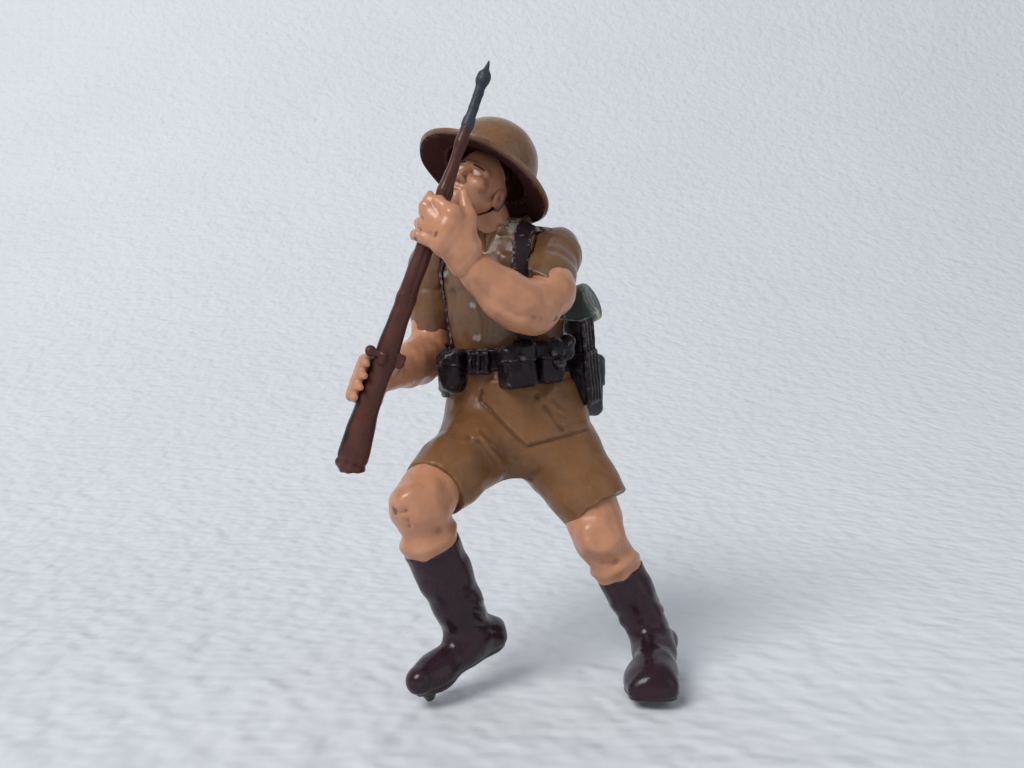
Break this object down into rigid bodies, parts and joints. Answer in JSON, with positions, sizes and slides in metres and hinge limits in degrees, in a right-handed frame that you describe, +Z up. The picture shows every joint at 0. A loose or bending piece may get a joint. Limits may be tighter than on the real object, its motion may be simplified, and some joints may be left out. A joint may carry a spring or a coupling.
{
  "type": "toy soldier figure",
  "caption": "Painted plastic toy foot soldier in shirt, shorts and boots, striding with a rifle held upright across the chest; helmet lifts off, head, waist and arms turn.",
  "frame": {"origin": "on the base peg's axis under the right boot, in the plane of the soles", "axes": "+Z up to the helmet, -Y the way the figure faces, +X to the figure's left; the base peg points along -Z"},
  "size_m": [0.0304, 0.0239, 0.0567],
  "materials": {
    "shorts_cloth": "gloss enamel paint",
    "shirt_cloth": "gloss enamel paint",
    "skin": "gloss enamel paint",
    "boot_paint": "high gloss enamel paint",
    "webbing": "gloss enamel paint, scuffed",
    "helmet_paint": "gloss enamel paint",
    "rifle_paint": "gloss enamel paint",
    "steel_paint": "grey enamel paint",
    "canvas_paint": "grey-green enamel paint",
    "bare_plastic": "bare moulded plastic"
  },
  "bodies": {
    "legs": {"shorts": "shorts_cloth", "right_leg": "skin", "left_leg": "skin", "right_boot": "boot_paint", "left_boot": "boot_paint", "base_peg": "bare_plastic", "belt": "webbing", "belt_buckle": "webbing", "right_ammo_pouch": "webbing", "left_ammo_pouch": "webbing", "side_pouch": "webbing", "haversack": "canvas_paint", "water_bottle": "canvas_paint"},
    "torso": {"shirt": "shirt_cloth", "neck": "skin", "right_brace": "webbing", "left_brace": "webbing", "bedroll": "canvas_paint"},
    "head": {"head": "skin"},
    "helmet": {"helmet": "helmet_paint"},
    "right_arm": {"right_sleeve": "shirt_cloth", "right_forearm": "skin", "right_hand": "skin", "rifle_stock": "rifle_paint", "rifle_barrel": "steel_paint", "bayonet": "steel_paint", "rifle_bolt": "rifle_paint", "rifle_magazine": "rifle_paint"},
    "left_arm": {"left_sleeve": "shirt_cloth", "left_forearm": "skin", "left_hand": "skin"}
  },
  "joints": [
    {"name": "waist_turn", "type": "hinge", "parent": "legs", "child": "torso", "pos_m": [0.0071, 0.0085, 0.0314], "axis": [0, 0, 1], "range_deg": [-10, 2]},
    {"name": "neck_turn", "type": "hinge", "parent": "torso", "child": "head", "pos_m": [0.0043, 0.0048, 0.047], "axis": [0.5001, 0.2084, 0.8405], "range_deg": [-25, 25]},
    {"name": "helmet_lift", "type": "slide", "parent": "head", "child": "helmet", "axis": [0.5001, 0.2084, 0.8405], "range_m": [0, 0.012]},
    {"name": "right_shoulder_turn", "type": "hinge", "parent": "torso", "child": "right_arm", "pos_m": [-0.0005, 0.01, 0.0393], "axis": [0.9483, -0.3059, 0.0841], "range_deg": [-5, 5]},
    {"name": "left_shoulder_turn", "type": "hinge", "parent": "torso", "child": "left_arm", "pos_m": [0.0119, 0.006, 0.0404], "axis": [0.9483, -0.3059, 0.0841], "range_deg": [-5, 5]}
  ],
  "couplings": [
    {"joint": "left_shoulder_turn", "follows": "right_shoulder_turn", "ratio": 1}
  ]
}
